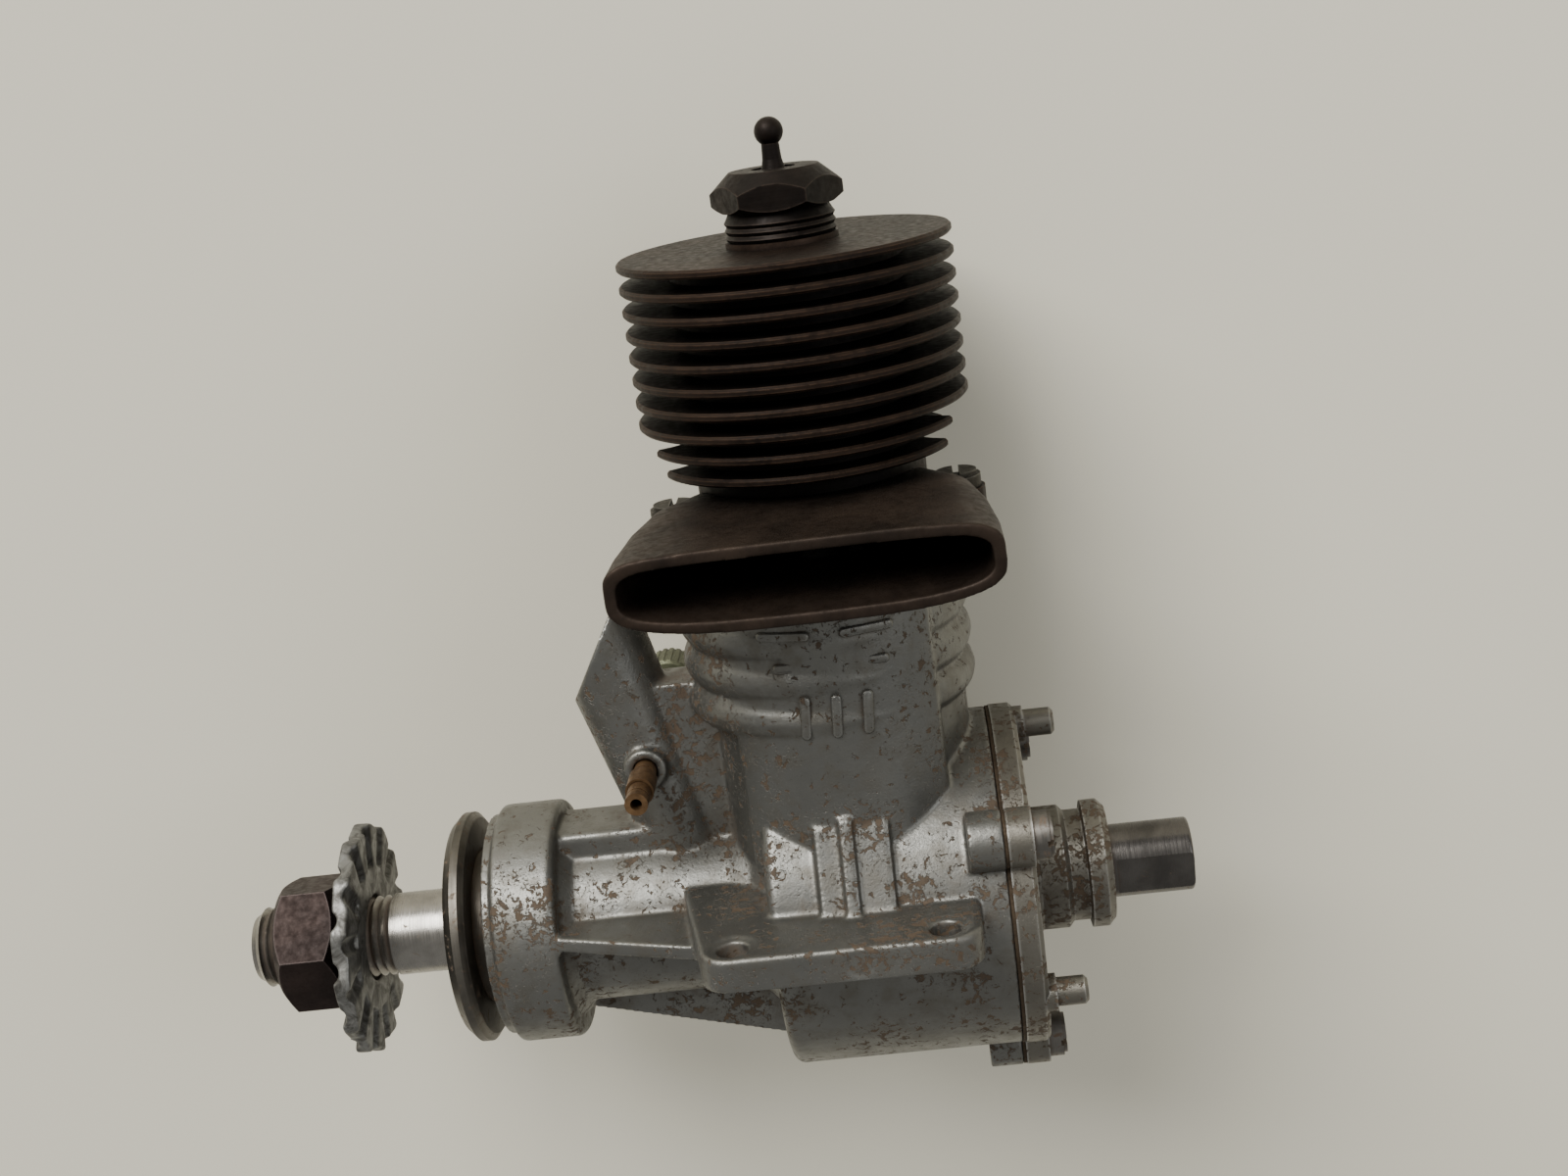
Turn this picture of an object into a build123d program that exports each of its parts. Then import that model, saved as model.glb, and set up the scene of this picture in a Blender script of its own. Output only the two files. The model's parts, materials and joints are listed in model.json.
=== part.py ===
from build123d import *

import os
from math import cos, pi, radians, sin

# Model glow engine of the .60 cubic inch class: a two-stroke with an air-cooled steel cylinder,
# a cast crankcase, a front rotary intake and a rear drive shaft. Millimetres.
# The origin is where the crankshaft's axis meets the cylinder's axis. +Z runs up the cylinder,
# +X runs along the crankshaft to the rear cover, and the exhaust stack faces -Y.

# Cylinder, bore and stroke
BORE_R = 11.45
WALL_R = 12.77
THROW = 12.05
HEAD_TOP = 76.3
CHAMBER_TOP = 70.2
SKIRT_BOTTOM = 24.0
DECK_Z = 44.0
GASKET_T = 0.4
FLANGE_T = 3.0
SCREW_X = 15.9
EAR_R = 3.3
FLANGE_EAR_R = 3.1
FLANGE_R = 15.4
TAP_R = 1.3
SHANK_R = 1.25
SCREW_CLEAR_R = 1.55
HEAD_R = 2.7
HEAD_H = 1.4
HEAD_CROWN = 0.5
SLOT_HALF = 0.35
FIN_COUNT = 10
FULL_FINS = 8
FIN_PITCH = 2.478
FIN_RIM = 0.94
FIN_ROOT = 1.3
FIN_R = 18.25
SHORT_FIN_R = (17.4, 16.6)
SCALLOP_X = 18.4
SCALLOP_R = 7.2

# Exhaust stack
RIM_Y = -29.5
RIM_X = -0.6
RIM_HALF = 20.0
RIM_LOW = 41.85
RIM_TOP = 50.7
STACK_WALL = 1.3
STACK_ROOT_Y = -4.0
PORT_LOW = 45.3
PORT_TOP = 49.7

# Piston and rod
PISTON_R = 11.40
PISTON_TOP = 66.0
PISTON_H = 20.0
WRIST_Z = 55.0
WRIST_R = 2.6
PIN_R = 3.0
BIG_END_R = 4.75
SMALL_END_R = 4.3
ROD_HALF = 2.4
RING_GROOVES = (62.0, 59.4)

# Crankcase
CASE_R = 19.6
CASE_FRONT = -10.0
CASE_REAR = 16.4
CAVITY_R = 17.2
CAVITY_FRONT = -7.6
COLUMN_R = 14.4
COLUMN_BORE = 12.82
PANEL_R = 16.2
PANEL_HALF = 11.2
BYPASS_R = 17.6
BYPASS_HALF = 9.0
BYPASS_DEPTH = 14.1
RIB_X = -0.7
RIB_R = 16.5
RIB_T = 3.9
RIB_Z = (26.6, 31.0, 35.4)
NOSE_R = 10.0
RING_FRONT = -42.0
RING_REAR = -34.6
RING_R = 14.04
STEP_FRONT = -43.2
STEP_R = 13.0

# Mounting lugs
LUG_FRONT = -16.7
LUG_REAR = 13.1
LUG_ROOT = -19.8
LUG_ROOT_Y = 11.0
LUG_CORNER = 3.4
LUG_HALF = 27.8
LUG_LOW = 1.8
LUG_TOP = 5.7
LUG_HOLE_X = (-13.6, 9.2)
LUG_HOLE_Y = 24.6
LUG_HOLE_R = 1.75
SPOT_R = 2.7
SPOT_DEPTH = 0.25
GUSSET_T = 1.7

# Intake tube: a point on its axis, its lean and its mouth
INTAKE_X = -21.66
INTAKE_Z = 14.79
INTAKE_LEAN = 14.8
INTAKE_R0 = 4.7
INTAKE_R1 = 5.75
INTAKE_BORE = 3.6
INTAKE_MOUTH_BORE = 4.0
INTAKE_DEPTH = 11.0
MOUTH_BORE_START = 19.0
INTAKE_WEB_TOP = 28.6
INTAKE_WEB_HALF = 3.2
MOUTH_X = -30.54
MOUTH_Z = 27.0
MOUTH_SLOPE = 60.9
SPRAY_X = -22.8
SPRAY_Z = 19.6
SPRAY_R = 1.3
SPRAY_BOSS_R = 2.45
SPRAY_BOSS_Y = 6.1
SPRAY_HOLE_R = 1.4
FUEL_BORE = 0.65
NIPPLE_R = 1.6
NIPPLE_TIP = -16.0
KNOB_FRONT = 23.3
KNOB_REAR = 29.0
KNOB_R = 3.5
SLEEVE_R = 2.3
NEEDLE_R = 0.6
KNOB_GROOVES = 24

# Rear cover
COVER_R = 19.75
COVER_T = 3.2
COVER_REAR = CASE_REAR + COVER_T
COVER_SCREW_R = 20.9
COVER_SCREW_ANGLES = (-56, 64, 184)
COVER_BOSS_T = 3.9
POST_R = 17.8
POST_ANGLES = (4, 124, -116)
POST_RADIUS = 1.6
POST_LENGTH = 4.0
POST_TIP = 0.4
REAR_BOSS_R = 7.18
REAR_BOSS_END = 28.8
HUB_FRONT = 8.7
HUB_BORE = 6.0
SPIGOT_FRONT = 13.0

# Shafts
SHAFT_R = 4.87
THREAD_R = 4.76
THREAD_PITCH = 1.058
SHAFT_TIP = -73.2
THREAD_END = -55.9
JOURNAL_R = 6.0
BUSH_R = 7.6
WEB_R = 15.8
WEB_FRONT = -7.1
WEB_REAR = -3.0
REAR_JOURNAL_R = 4.5
REAR_SHAFT_STEP = 29.0
REAR_SHAFT_R = 4.24
REAR_SHAFT_END = 38.3
FLAT_FRONT = 29.4
FLAT_TILT = 8.0
FLAT_DEPTH = 0.65
REAR_ARM_FRONT = 5.0
REAR_ARM_REAR = 8.0
RUNNING = 0.04

# Propeller hardware
NUT_AF = 14.29
NUT_FRONT = -69.7
NUT_REAR = -62.2
NUT_TURN = -9.0
NUT_CHAMFER_R = 1.5
NUT_CHAMFER_X = 1.9
WASHER_FRONT = -61.7
WASHER_T = 2.0
WASHER_R = 13.75
WASHER_LOBES = 14
WASHER_LEAN_Z = 3.0
WASHER_LEAN_Y = 1.5
WASHER_SHIFT = 0.75
FLUTE_R = 1.3
FLUTE_RISE = 0.6
FLUTE_START = 8.5
DISC_FRONT = -47.7
DISC_REAR = -45.2
DISC_HUB_R = 9.0
DISC_R = 13.6

# Glow plug
PLUG_THREAD_R = 4.8
COLLAR_R = 6.05
COLLAR_GROOVE = 0.25
COLLAR_Z = 76.9
HEX_AF = 12.5
HEX_LOW = 80.1
HEX_TOP = 84.2
HEX_SHOULDER = 82.1
HEX_FACE_R = 4.9
HEX_TURN = -2.0
INSULATOR_R = 2.4
BALL_R = 1.565
BALL_Z = 88.0


def bar(plane, radius, length, mode=Mode.ADD):
    """A round bar, or a bore, that stands on a plane and runs along its normal."""
    with BuildSketch(plane) as profile:
        Circle(radius)
    extrude(profile.sketch, amount=length, mode=mode)


def x_bar(x0, x1, radius, mode=Mode.ADD, y=0.0, z=0.0):
    """A round bar or bore along +X, from x0 to x1."""
    bar(Plane(origin=(x0, y, z), x_dir=(0, 1, 0), z_dir=(1, 0, 0)), radius, x1 - x0, mode)


def z_bar(z0, z1, radius, mode=Mode.ADD, x=0.0, y=0.0):
    """A round bar or bore along +Z, from z0 to z1."""
    bar(Plane(origin=(x, y, z0)), radius, z1 - z0, mode)


def y_bar(y0, y1, radius, x, z, mode=Mode.ADD):
    """A round bar or bore along +Y, from y0 to y1."""
    bar(Plane(origin=(x, y0, z), x_dir=(0, 0, 1), z_dir=(0, 1, 0)), radius, y1 - y0, mode)


def block(corner, opposite, mode=Mode.ADD):
    """A rectangular block between two corners."""
    size = [b - a for a, b in zip(corner, opposite)]
    middle = [(a + b) / 2 for a, b in zip(corner, opposite)]
    with Locations(tuple(middle)):
        Box(*size, mode=mode)


def plate(plane, points, amount, both=False, mode=Mode.ADD):
    """A flat plate with straight edges, drawn on a plane."""
    with BuildSketch(plane) as profile:
        with BuildLine():
            Polyline(*points, close=True)
        make_face()
    extrude(profile.sketch, amount=amount, both=both, mode=mode)


def turned_x(points, mode=Mode.ADD):
    """A turned shape about the X axis, from its (x, radius) outline."""
    with BuildSketch(Plane.XZ) as profile:
        with BuildLine():
            Polyline(*points, close=True)
        make_face()
    revolve(profile.sketch, axis=Axis.X, mode=mode)


def turned_z(points, mode=Mode.ADD, x=0.0):
    """A turned shape about an axis parallel to Z, from its (radius, z) outline."""
    with BuildSketch(Plane.XZ) as profile:
        with BuildLine():
            Polyline(*[(x + radius, z) for radius, z in points], close=True)
        make_face()
    revolve(profile.sketch, axis=Axis((x, 0, 0), (0, 0, 1)), mode=mode)


def on_cover(angle, radius):
    """(y, z) of a point on the rear cover, at an angle from +Z towards +Y."""
    return radius * sin(radians(angle)), radius * cos(radians(angle))


def save(builder, name):
    """Label a finished piece and write its STEP file."""
    builder.part.label = name
    export_step(builder.part, f"parts/{name}.step")


def thread_outline(start, end, crest, depth, pitch):
    """Crests and roots of a 60 degree thread along an axis, as (position, radius) points."""
    turns = int((end - start) / pitch)
    points = []
    for turn in range(turns):
        points.append((start + turn * pitch, crest - depth))
        points.append((start + (turn + 0.5) * pitch, crest))
    points.append((start + turns * pitch, crest - depth))
    return points


# ---------------------------------------------------------------- crankcase
lean = radians(INTAKE_LEAN)
intake_axis = Vector(-sin(lean), 0, cos(lean))
intake_start = Vector(INTAKE_X, 0, INTAKE_Z) - intake_axis * INTAKE_DEPTH
mouth = Plane(
    origin=(MOUTH_X, 0, MOUTH_Z),
    x_dir=(0, 1, 0),
    z_dir=(-sin(radians(MOUTH_SLOPE)), 0, cos(radians(MOUTH_SLOPE))),
)
intake_base = Plane(origin=intake_start, x_dir=(0, 1, 0), z_dir=intake_axis)

with BuildPart() as intake_tube:
    with BuildSketch(intake_base):
        Circle(INTAKE_R0)
    with BuildSketch(intake_base.offset(42)):
        Circle(INTAKE_R1)
    loft()
    split(bisect_by=mouth, keep=Keep.BOTTOM)

with BuildPart() as crankcase:
    # crank chamber barrel and its rear flange
    x_bar(CASE_FRONT, CASE_REAR, CASE_R)
    fillet(crankcase.edges().filter_by(GeomType.CIRCLE).sort_by(Axis.X)[0], 1.2)
    # column that holds the cylinder
    z_bar(0, DECK_Z - GASKET_T, COLUMN_R)
    with BuildSketch(Plane.XY.offset(8)):
        Circle(PANEL_R)
        with Locations((0, -PANEL_R)):
            Rectangle(2 * PANEL_HALF, 2 * PANEL_R - 8, mode=Mode.INTERSECT)
    extrude(amount=DECK_Z - GASKET_T - 8)
    with BuildSketch(Plane.XY.offset(6)):
        Circle(BYPASS_R)
        with Locations((0, BYPASS_R)):
            Rectangle(2 * BYPASS_HALF + 3, 2 * BYPASS_R - 8, mode=Mode.INTERSECT)
    extrude(amount=DECK_Z - GASKET_T - 6)
    for rib_z in RIB_Z:
        half = RIB_T / 2
        turned_z(
            [
                (COLUMN_R - 2, rib_z - half),
                (RIB_R - 0.9, rib_z - half),
                (RIB_R - 0.25, rib_z - 0.55 * half),
                (RIB_R, rib_z),
                (RIB_R - 0.25, rib_z + 0.55 * half),
                (RIB_R - 0.9, rib_z + half),
                (COLUMN_R - 2, rib_z + half),
            ],
            x=RIB_X,
        )
    # deck with two ears for the hold-down screws
    with BuildSketch(Plane.XY.offset(DECK_Z - GASKET_T - 5)):
        Circle(PANEL_R)
        with Locations((-SCREW_X, 0), (SCREW_X, 0)):
            Circle(EAR_R)
        make_hull()
    extrude(amount=5)
    # nose, its front ring and the step behind the drive disc
    x_bar(RING_REAR - 1, CASE_FRONT + 2, NOSE_R)
    turned_x(
        [
            (CASE_FRONT + 1, 0),
            (CASE_FRONT + 1, NOSE_R + 4.5),
            (CASE_FRONT - 0.2, NOSE_R + 3.2),
            (CASE_FRONT - 2.2, NOSE_R + 1.0),
            (CASE_FRONT - 5.0, NOSE_R),
            (CASE_FRONT - 5.0, 0),
        ]
    )
    turned_x(
        [
            (RING_FRONT, 0),
            (RING_FRONT, RING_R - 0.4),
            (RING_FRONT + 0.35, RING_R),
            (RING_REAR - 0.5, RING_R),
            (RING_REAR, RING_R - 0.5),
            (RING_REAR, NOSE_R + 1.6),
            (RING_REAR + 1.5, NOSE_R),
            (RING_REAR + 1.5, 0),
        ]
    )
    x_bar(STEP_FRONT, RING_FRONT, STEP_R)
    # raised pad on top of the nose and the web below it
    block((RING_REAR - 0.5, -4.4, 8.0), (INTAKE_X + 1, 4.4, 12.05))
    fillet(
        crankcase.edges().filter_by(Axis.X).filter_by(lambda e: abs(e.center().Z - 12.05) < 0.01), 0.8
    )
    plate(
        Plane.XZ,
        [(RING_REAR - 1, -5), (RING_REAR - 1, -11), (CASE_FRONT + 1, -17.9), (CASE_FRONT + 1, -5)],
        1.5,
        both=True,
    )
    # mounting lugs and the gussets that stiffen them
    with BuildSketch(Plane.XY.offset(LUG_LOW)) as lug_plan:
        with BuildLine():
            Polyline(
                (LUG_FRONT, -LUG_HALF),
                (LUG_REAR, -LUG_HALF),
                (LUG_REAR, LUG_HALF),
                (LUG_FRONT, LUG_HALF),
                (LUG_ROOT, LUG_ROOT_Y),
                (LUG_ROOT, -LUG_ROOT_Y),
                close=True,
            )
        make_face()
        fillet(lug_plan.vertices().filter_by(lambda v: abs(v.Y) > LUG_HOLE_Y), LUG_CORNER)
    extrude(amount=LUG_TOP - LUG_LOW)
    fillet(
        crankcase.faces()
        .filter_by(Plane.XY)
        .filter_by(lambda f: abs(f.center().Z - LUG_TOP) < 0.01)
        .edges()
        .filter_by(lambda e: abs(e.center().Y) > 20),
        0.6,
    )
    gusset = [(RING_REAR - 1, -13.2), (LUG_FRONT + 1, -20.0), (LUG_FRONT + 1, 20.0), (RING_REAR - 1, 13.2)]
    plate(Plane.XY.offset(LUG_LOW), gusset, GUSSET_T)
    # gusset pad and narrow rib that run down the front of the column to the lug
    for side in (-1, 1):
        foot = side * 20.1
        plate(
            Plane.YZ.offset(-4.1),
            [(side * 12, 17.5), (side * PANEL_R, 14.5), (foot, LUG_TOP - 0.5), (side * 12, LUG_TOP - 0.5)],
            8.3,
        )
        plate(
            Plane.YZ.offset(-1.2),
            [(side * 12, 15.6), (side * 16.7, 15.6), (side * 20.9, LUG_TOP - 0.5), (side * 12, LUG_TOP - 0.5)],
            1.5,
        )
    # bosses for the rear cover's screws
    for angle in COVER_SCREW_ANGLES:
        boss_y, boss_z = on_cover(angle, COVER_SCREW_R)
        x_bar(CASE_REAR - COVER_BOSS_T, CASE_REAR, EAR_R, y=boss_y, z=boss_z)
    # intake tube with a boss on each side for the spray bar
    add(intake_tube.part)
    y_bar(-SPRAY_BOSS_Y, SPRAY_BOSS_Y, SPRAY_BOSS_R, SPRAY_X, SPRAY_Z)
    # web that ties the intake tube to the column
    plate(
        Plane.XZ,
        [(INTAKE_X, 8), (-COLUMN_BORE, 8), (-COLUMN_BORE, INTAKE_WEB_TOP), (SPRAY_X - 0.5, INTAKE_WEB_TOP)],
        INTAKE_WEB_HALF,
        both=True,
    )
    # hollows: crank chamber, cylinder bore, bypass, shaft bore, intake and screw holes
    x_bar(CAVITY_FRONT, CASE_REAR, CAVITY_R, Mode.SUBTRACT)
    z_bar(0, DECK_Z, COLUMN_BORE, Mode.SUBTRACT)
    block((-BYPASS_HALF + 0.5, 0, 8), (BYPASS_HALF - 0.5, BYPASS_DEPTH, DECK_Z), Mode.SUBTRACT)
    x_bar(STEP_FRONT, 0, BUSH_R, Mode.SUBTRACT)
    bar(intake_base.offset(-2), INTAKE_BORE, 50, Mode.SUBTRACT)
    bar(intake_base.offset(MOUTH_BORE_START), INTAKE_MOUTH_BORE, 30, Mode.SUBTRACT)
    y_bar(-SPRAY_BOSS_Y, SPRAY_BOSS_Y, SPRAY_HOLE_R, SPRAY_X, SPRAY_Z, Mode.SUBTRACT)
    for x in LUG_HOLE_X:
        for y in (-LUG_HOLE_Y, LUG_HOLE_Y):
            z_bar(LUG_LOW, LUG_TOP, LUG_HOLE_R, Mode.SUBTRACT, x=x, y=y)
            z_bar(LUG_TOP - SPOT_DEPTH, LUG_TOP, SPOT_R, Mode.SUBTRACT, x=x, y=y)
    for x in (-SCREW_X, SCREW_X):
        z_bar(DECK_Z - GASKET_T - 4.4, DECK_Z, TAP_R, Mode.SUBTRACT, x=x)
    for angle in COVER_SCREW_ANGLES:
        boss_y, boss_z = on_cover(angle, COVER_SCREW_R)
        x_bar(CASE_REAR - COVER_BOSS_T + 0.5, CASE_REAR, TAP_R, Mode.SUBTRACT, y=boss_y, z=boss_z)
    # shallow round marks that the mould's ejectors leave on the lugs
    y_bar(-LUG_HALF, -LUG_HALF + 0.15, 1.6, -0.1, 3.75, Mode.SUBTRACT)
    y_bar(LUG_HALF - 0.15, LUG_HALF, 1.6, -0.1, 3.75, Mode.SUBTRACT)
save(crankcase, "crankcase")

# ---------------------------------------------------------------- bushings
with BuildPart() as front_bushing:
    x_bar(-43.1, -27.0, BUSH_R)
    x_bar(-43.1, -27.0, JOURNAL_R + RUNNING, Mode.SUBTRACT)
save(front_bushing, "front_bushing")

with BuildPart() as main_bushing:
    x_bar(-26.6, CAVITY_FRONT, BUSH_R)
    x_bar(-26.6, CAVITY_FRONT, JOURNAL_R + RUNNING, Mode.SUBTRACT)
    bar(intake_base.offset(-2), INTAKE_BORE, 20, Mode.SUBTRACT)
save(main_bushing, "main_bushing")

# ---------------------------------------------------------------- cylinder
with BuildPart() as cylinder:
    outline = [(0, SKIRT_BOTTOM), (WALL_R, SKIRT_BOTTOM)]
    for fin in reversed(range(FIN_COUNT)):
        top = HEAD_TOP - fin * FIN_PITCH
        radius = FIN_R if fin < FULL_FINS else SHORT_FIN_R[fin - FULL_FINS]
        outline += [
            (WALL_R, top - FIN_ROOT),
            (radius - 0.25, top - FIN_RIM),
            (radius, top - FIN_RIM + 0.25),
            (radius, top - 0.25),
            (radius - 0.25, top),
        ]
        if fin:
            outline.append((WALL_R, top))
    turned_z(outline + [(0, HEAD_TOP)])
    # the two lowest fins are scalloped over the hold-down screws
    low = HEAD_TOP - (FIN_COUNT - 1) * FIN_PITCH - FIN_ROOT
    high = HEAD_TOP - FULL_FINS * FIN_PITCH
    with BuildSketch(Plane.XY.offset(low)):
        with Locations((-SCALLOP_X, 0), (SCALLOP_X, 0)):
            Circle(SCALLOP_R)
        Circle(WALL_R + 0.1, mode=Mode.SUBTRACT)
    extrude(amount=high - low, mode=Mode.SUBTRACT)
    # base flange with an ear for each hold-down screw
    with BuildSketch(Plane.XY.offset(DECK_Z)):
        Circle(FLANGE_R)
        with Locations((-SCREW_X, 0), (SCREW_X, 0)):
            Circle(FLANGE_EAR_R)
        make_hull()
    extrude(amount=FLANGE_T)
    # steel jacket over the top of the bypass
    with BuildSketch(Plane.XY.offset(DECK_Z)):
        Circle(BYPASS_R - 0.4)
        with Locations((0, BYPASS_R)):
            Rectangle(2 * BYPASS_HALF + 2, 2 * BYPASS_R - 8, mode=Mode.INTERSECT)
    extrude(amount=PORT_TOP + 1.6 - DECK_Z)
    # seat that the exhaust stack is brazed to
    block((-20, -30, DECK_Z - 0.5), (20, -WALL_R - 0.03, 51.5), Mode.SUBTRACT)
    with BuildSketch(Plane.XY.offset(DECK_Z)) as stack_seat:
        with BuildLine():
            Polyline((-12.9, -3.9), (-19.6, -9.5), (-19.6, -17), (19.6, -17), (19.6, -9.5), (12.9, -3.9), close=True)
        make_face()
        Circle(WALL_R, mode=Mode.SUBTRACT)
    extrude(amount=7.5, mode=Mode.SUBTRACT)
    # bore, ports, bypass pocket and plug hole
    z_bar(SKIRT_BOTTOM, CHAMBER_TOP, BORE_R, Mode.SUBTRACT)
    for port_x in (-5.4, 0, 5.4):
        block((port_x - 2.2, -WALL_R - 2, PORT_LOW), (port_x + 2.2, -5, PORT_TOP), Mode.SUBTRACT)
        block((port_x - 2.2, 5, PORT_LOW), (port_x + 2.2, WALL_R + 1, PORT_TOP), Mode.SUBTRACT)
    with BuildSketch(Plane.XY.offset(DECK_Z)):
        Circle(BYPASS_R - 1.8)
        with Locations((0, BYPASS_R)):
            Rectangle(2 * BYPASS_HALF - 1, 2 * BYPASS_R - 8, mode=Mode.INTERSECT)
        Circle(WALL_R, mode=Mode.SUBTRACT)
    extrude(amount=PORT_TOP - DECK_Z, mode=Mode.SUBTRACT)
    z_bar(CHAMBER_TOP, HEAD_TOP, PLUG_THREAD_R + 0.04, Mode.SUBTRACT)
    for x in (-SCREW_X, SCREW_X):
        z_bar(DECK_Z, DECK_Z + FLANGE_T, SCREW_CLEAR_R, Mode.SUBTRACT, x=x)
save(cylinder, "cylinder")

with BuildPart() as base_gasket:
    with BuildSketch(Plane.XY.offset(DECK_Z - GASKET_T)):
        Circle(FLANGE_R)
        with Locations((-SCREW_X, 0), (SCREW_X, 0)):
            Circle(FLANGE_EAR_R)
        make_hull()
        Circle(COLUMN_BORE, mode=Mode.SUBTRACT)
        with Locations((-SCREW_X, 0), (SCREW_X, 0)):
            Circle(SCREW_CLEAR_R, mode=Mode.SUBTRACT)
        with Locations((0, BYPASS_DEPTH - 0.9)):
            Rectangle(1.4 * BYPASS_HALF, 1.0, mode=Mode.SUBTRACT)
    extrude(amount=GASKET_T)
save(base_gasket, "base_gasket")

# ---------------------------------------------------------------- exhaust stack
# Sections across the stack, from the cylinder outwards: (y, half width, lower z, upper z)
STACK_SECTIONS = (
    (STACK_ROOT_Y, 13.2, DECK_Z, 51.2),
    (-9.5, 17.4, DECK_Z, 51.2),
    (-16.7, 18.9, DECK_Z, 51.0),
    (-24.0, 19.8, 42.6, 50.8),
    (RIM_Y, RIM_HALF, RIM_LOW, RIM_TOP),
)
DUCT_SECTIONS = (
    (-8.0, 8.2, PORT_LOW, PORT_TOP),
    (-16.7, 16.2, PORT_LOW, PORT_TOP),
    (-24.0, 18.4, 44.0, 49.5),
    (RIM_Y - 0.01, RIM_HALF - STACK_WALL, RIM_LOW + STACK_WALL, RIM_TOP - STACK_WALL),
)
ROOF_POWER = 5.0
FLOOR_POWER = 2.9
OUTLINE_STEPS = 32


def stack_outline(half, low_z, top_z):
    """Points of a flattened oval. Its roof is flatter and squarer than its floor."""
    middle = low_z + 0.5 * (top_z - low_z)
    points = []
    for step in range(OUTLINE_STEPS):
        turn = 2 * pi * (step + 0.5) / OUTLINE_STEPS
        across = abs(cos(turn))
        up = abs(sin(turn))
        power = ROOF_POWER if sin(turn) > 0 else FLOOR_POWER
        reach = (across**power + up**power) ** (-1 / power)
        side = half * reach * cos(turn)
        rise = 0.5 * (top_z - low_z) * reach * sin(turn)
        points.append((side, middle + rise))
    return points


def stack_loft(sections, mode=Mode.ADD):
    """A flattened funnel through oval sections that face -Y."""
    faces = []
    for y, half, low_z, top_z in sections:
        shift = RIM_X * (y - STACK_ROOT_Y) / (RIM_Y - STACK_ROOT_Y)
        with BuildSketch(Plane(origin=(shift, y, 0), x_dir=(1, 0, 0), z_dir=(0, -1, 0))) as section:
            with BuildLine():
                Spline(*stack_outline(half, low_z, top_z), periodic=True)
            make_face()
        faces.append(section.sketch)
    for near, far in zip(faces, faces[1:]):
        loft([near.faces()[0], far.faces()[0]], mode=mode)


with BuildPart() as exhaust_stack:
    stack_loft(STACK_SECTIONS)
    z_bar(DECK_Z - 3, 52, WALL_R + 0.03, Mode.SUBTRACT)
    stack_loft(DUCT_SECTIONS, Mode.SUBTRACT)
save(exhaust_stack, "exhaust_stack")

# ---------------------------------------------------------------- hold-down screws
with BuildPart() as cylinder_screws:
    for x in (-SCREW_X, SCREW_X):
        seat = DECK_Z + FLANGE_T
        z_bar(DECK_Z - GASKET_T - 4.0, seat, SHANK_R, x=x)
        z_bar(seat, seat + HEAD_H, HEAD_R, x=x)
        z_bar(seat + HEAD_H, seat + HEAD_H + HEAD_CROWN, HEAD_R - 0.4, x=x)
        block(
            (x - SLOT_HALF, -HEAD_R, seat + HEAD_H - 0.4),
            (x + SLOT_HALF, HEAD_R, seat + HEAD_H + HEAD_CROWN),
            Mode.SUBTRACT,
        )
save(cylinder_screws, "cylinder_screws")

# ---------------------------------------------------------------- glow plug
with BuildPart() as plug_body:
    z_bar(CHAMBER_TOP - 0.4, COLLAR_Z, PLUG_THREAD_R)
    collar = thread_outline(COLLAR_Z, HEX_LOW - 0.2, COLLAR_R, COLLAR_GROOVE, 0.8)
    turned_z([(0, COLLAR_Z)] + [(r, z) for z, r in collar] + [(5.4, HEX_LOW), (0, HEX_LOW)])
    with BuildSketch(Plane.XY.offset(HEX_LOW)):
        RegularPolygon(HEX_AF / 2, 6, major_radius=False, rotation=HEX_TURN)
    extrude(amount=HEX_TOP - HEX_LOW)
    # the hexagon is turned to a steep shoulder above and a small chamfer below
    hex_corner = HEX_AF / 2 / cos(pi / 6)
    turned_z(
        [
            (HEX_FACE_R, HEX_TOP),
            (HEX_FACE_R, HEX_TOP + 1),
            (hex_corner + 1, HEX_TOP + 1),
            (hex_corner + 1, HEX_SHOULDER),
            (hex_corner, HEX_SHOULDER),
        ],
        Mode.SUBTRACT,
    )
    turned_z(
        [(hex_corner - 1.0, HEX_LOW), (hex_corner + 1, HEX_LOW), (hex_corner + 1, HEX_LOW + 1.4)],
        Mode.SUBTRACT,
    )
    z_bar(HEX_TOP - 3.5, HEX_TOP, INSULATOR_R, Mode.SUBTRACT)
    z_bar(CHAMBER_TOP - 0.4, HEX_TOP, 1.6, Mode.SUBTRACT)
    z_bar(CHAMBER_TOP - 0.4, CHAMBER_TOP + 3.2, 2.4, Mode.SUBTRACT)
save(plug_body, "plug_body")

with BuildPart() as plug_gasket:
    z_bar(HEAD_TOP, COLLAR_Z, COLLAR_R + 0.1)
    z_bar(HEAD_TOP, COLLAR_Z, PLUG_THREAD_R + 0.05, Mode.SUBTRACT)
save(plug_gasket, "plug_gasket")

with BuildPart() as plug_insulator:
    z_bar(CHAMBER_TOP + 4.0, HEX_TOP - 3.5, 1.6)
    z_bar(HEX_TOP - 3.5, HEX_TOP - 0.2, INSULATOR_R)
    z_bar(CHAMBER_TOP + 4.0, HEX_TOP, 0.75, Mode.SUBTRACT)
save(plug_insulator, "plug_insulator")

with BuildPart() as plug_terminal:
    turned_z(
        [
            (0, CHAMBER_TOP + 3.4),
            (0.75, CHAMBER_TOP + 3.4),
            (0.75, HEX_TOP - 0.2),
            (1.3, HEX_TOP - 0.2),
            (1.05, HEX_TOP + 0.9),
            (0.95, BALL_Z - 1.2),
            (0, BALL_Z - 1.2),
        ]
    )
    with Locations((0, 0, BALL_Z)):
        Sphere(BALL_R)
save(plug_terminal, "plug_terminal")

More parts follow.
